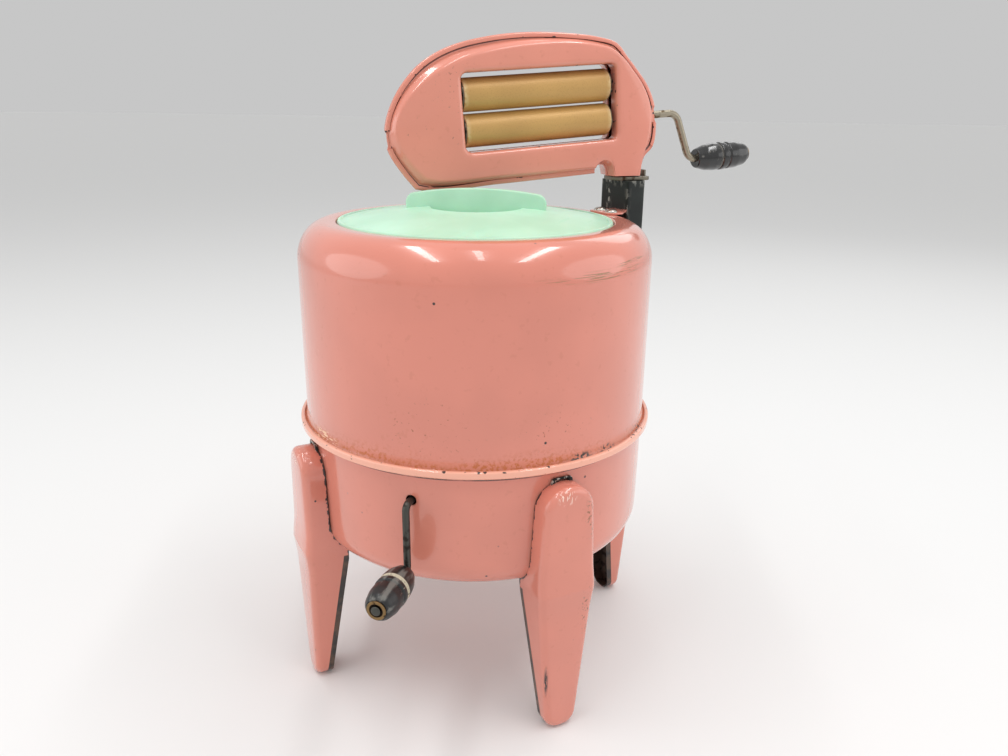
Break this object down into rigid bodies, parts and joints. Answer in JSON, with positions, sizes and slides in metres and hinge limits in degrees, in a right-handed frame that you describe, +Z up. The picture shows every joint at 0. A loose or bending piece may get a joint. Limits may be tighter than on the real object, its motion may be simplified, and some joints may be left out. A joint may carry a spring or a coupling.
{
  "type": "toy wringer washing machine",
  "caption": "Toy wringer washing machine: enamelled sheet-steel tub on legs, lift-off lid, crank-driven agitator, swivelling wringer head with two rollers and turned wooden crank grips",
  "frame": {"origin": "on the tub's vertical axis, in the floor plane that the four feet stand on", "axes": "+Z up along the tub's axis; -Y is the front, where the tub crank comes out; +X is to the right seen from the front"},
  "size_m": [0.2218, 0.2583, 0.3291],
  "materials": {
    "pink_enamel": "gloss salmon-pink enamel on sheet steel, chipped and rusty along the seam",
    "black_enamel": "gloss black enamel with chipped edges",
    "mint_plastic": "moulded mint-green plastic, satin gloss",
    "plain_steel": "dull, lightly tarnished steel",
    "dark_steel": "dark, browned steel",
    "brass": "dull, aged brass",
    "black_wood": "turned wood under worn gloss-black lacquer, pale in the ring grooves",
    "tan_rubber": "tan rubber sleeve with a fine ground surface"
  },
  "bodies": {
    "tub": {"upper_drum": "pink_enamel", "lower_bowl": "pink_enamel", "tub_floor": "plain_steel", "leg_front_left": "pink_enamel", "leg_front_right": "pink_enamel", "leg_rear_left": "pink_enamel", "leg_rear_right": "pink_enamel", "leg_straps": "dark_steel", "post": "black_enamel", "post_top_rivets": "plain_steel", "post_wall_rivets": "plain_steel", "swivel_stud": "plain_steel", "gear_bracket": "plain_steel", "bracket_rivets": "plain_steel", "shaft_bushing": "brass"},
    "lid": {"lid": "mint_plastic"},
    "agitator": {"agitator": "mint_plastic", "agitator_shaft": "plain_steel", "crown_gear": "brass", "shaft_clip": "plain_steel"},
    "tub_crank": {"tub_crank": "dark_steel", "crank_pinion": "brass"},
    "tub_grip": {"tub_grip": "black_wood", "tub_grip_washer": "brass"},
    "wringer_head": {"wringer_front_shell": "pink_enamel", "wringer_rear_shell": "pink_enamel", "pivot_plate": "plain_steel", "bearing_plate_right": "plain_steel", "bearing_plate_left": "plain_steel"},
    "lower_roller": {"lower_roller": "tan_rubber", "lower_roller_caps": "plain_steel", "wringer_crank": "plain_steel"},
    "wringer_grip": {"wringer_grip": "black_wood", "wringer_grip_washer": "brass"},
    "upper_roller": {"upper_roller": "tan_rubber", "upper_roller_caps": "plain_steel", "upper_axle": "plain_steel"}
  },
  "joints": [
    {"name": "lid_lift", "type": "slide", "parent": "tub", "child": "lid", "axis": [0, 0, 1], "range_m": [0, 0.0015]},
    {"name": "wringer_swivel", "type": "hinge", "parent": "tub", "child": "wringer_head", "pos_m": [0.06158, 0.07339, 0.2554], "axis": [0, 0, 1], "range_deg": [-170, 0]},
    {"name": "agitator_spin", "type": "hinge", "parent": "tub", "child": "agitator", "pos_m": [0, 0, 0.12], "axis": [0, 0, 1], "continuous": true},
    {"name": "tub_crank_turn", "type": "hinge", "parent": "tub", "child": "tub_crank", "pos_m": [0, -0.09, 0.123], "axis": [0, 1, 0], "continuous": true},
    {"name": "tub_grip_spin", "type": "hinge", "parent": "tub_crank", "child": "tub_grip", "pos_m": [0, -0.11, 0.09], "axis": [0, -1, 0], "continuous": true},
    {"name": "wringer_crank_turn", "type": "hinge", "parent": "wringer_head", "child": "lower_roller", "pos_m": [0.02297, 0.04301, 0.28368], "axis": [-0.7833, -0.6164, -0.0811], "continuous": true},
    {"name": "upper_roller_spin", "type": "hinge", "parent": "wringer_head", "child": "upper_roller", "pos_m": [0.02186, 0.04213, 0.30102], "axis": [-0.7833, -0.6164, -0.0811], "continuous": true},
    {"name": "wringer_grip_spin", "type": "hinge", "parent": "lower_roller", "child": "wringer_grip", "pos_m": [0.11079, 0.11211, 0.26668], "axis": [-0.7833, -0.6164, -0.0811], "continuous": true}
  ],
  "couplings": [
    {"joint": "tub_crank_turn", "follows": "agitator_spin", "ratio": 3.2},
    {"joint": "upper_roller_spin", "follows": "wringer_crank_turn", "ratio": -1}
  ]
}
